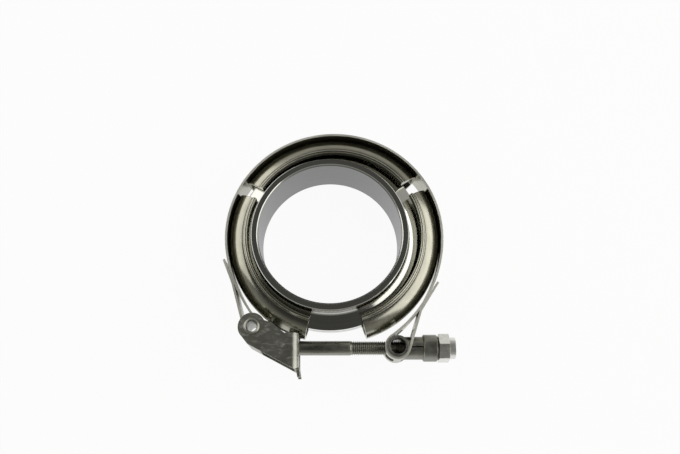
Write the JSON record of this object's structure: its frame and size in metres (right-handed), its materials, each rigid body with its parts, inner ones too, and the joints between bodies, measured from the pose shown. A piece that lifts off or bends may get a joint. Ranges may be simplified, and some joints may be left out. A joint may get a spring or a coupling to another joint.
{
  "type": "v band clamp",
  "caption": "Quick-release V-band clamp with a T-bolt latch, fitted round a pair of exhaust pipe flanges.",
  "frame": {"origin": "on the bore axis, at the joint between the two flanges", "axes": "+Z along the bore through the upper flange, +X along the T-bolt from the latch towards the lock nut"},
  "size_m": [0.1032, 0.113, 0.0254],
  "materials": {
    "flange_steel": "turned and polished stainless steel",
    "strap_steel": "rolled stainless strip",
    "retainer_steel": "rolled stainless steel, slightly satin",
    "latch_steel": "stamped stainless steel with light scuffs",
    "rivet_steel": "rolled stainless tube",
    "bolt_steel": "dark stainless steel, rolled thread",
    "trunnion_steel": "rolled stainless strip, darkened",
    "collar_steel": "drawn stainless cap",
    "nut_zinc": "bright plated steel"
  },
  "bodies": {
    "band": {"flange_upper": "flange_steel", "flange_lower": "flange_steel", "band_strap": "strap_steel", "retainer_top": "retainer_steel", "retainer_left": "retainer_steel", "retainer_right": "retainer_steel"},
    "latch": {"latch_hook": "latch_steel", "latch_rivet": "rivet_steel"},
    "trunnion_set": {"trunnion": "trunnion_steel", "trunnion_collar": "collar_steel"},
    "bolt": {"t_bolt": "bolt_steel"},
    "nut": {"lock_nut": "nut_zinc"}
  },
  "joints": [
    {"name": "latch_pivot", "type": "hinge", "parent": "band", "child": "latch", "pos_m": [-0.0338, -0.0415, 0], "axis": [0, 0, 1], "range_deg": [-0.5, 3]},
    {"name": "trunnion_swivel", "type": "hinge", "parent": "band", "child": "trunnion_set", "pos_m": [0.0296, -0.0497, 0], "axis": [0, 0, 1], "range_deg": [0, 6]},
    {"name": "bolt_slide", "type": "slide", "parent": "trunnion_set", "child": "bolt", "axis": [1, 0, 0], "range_m": [-0.005, 0]},
    {"name": "nut_spin", "type": "hinge", "parent": "trunnion_set", "child": "nut", "pos_m": [0.051, -0.0497, -0.0006], "axis": [1, 0, 0], "range_deg": [0, 2000]}
  ],
  "couplings": [
    {"joint": "nut_spin", "follows": "bolt_slide", "rad_per_m": -6926.4}
  ]
}
